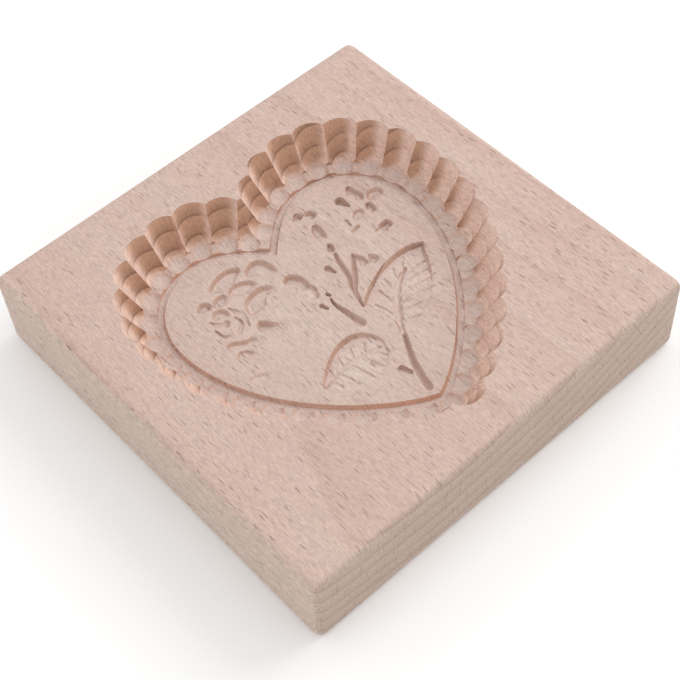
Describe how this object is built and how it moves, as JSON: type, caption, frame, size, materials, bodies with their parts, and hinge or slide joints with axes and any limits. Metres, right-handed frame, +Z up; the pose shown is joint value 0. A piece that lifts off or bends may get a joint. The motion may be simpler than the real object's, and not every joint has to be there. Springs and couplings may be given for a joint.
{
  "type": "cookie mould",
  "caption": "Square wooden cookie mould with a fluted heart recess, a flat heart panel and a sunk rose spray with leaves and buds.",
  "frame": {"origin": "middle of the underside, where the board rests", "axes": "+Z up out of the carved face, +Y from the heart's tip to its lobes and along the grain, +X to the right of the upright heart"},
  "size_m": [0.1, 0.1, 0.02],
  "materials": {
    "beech": "planed and sanded steamed beech, bare and matte, with fine dark pore dashes along the grain"
  },
  "bodies": {
    "root": {"mould_block": "beech"}
  },
  "joints": []
}
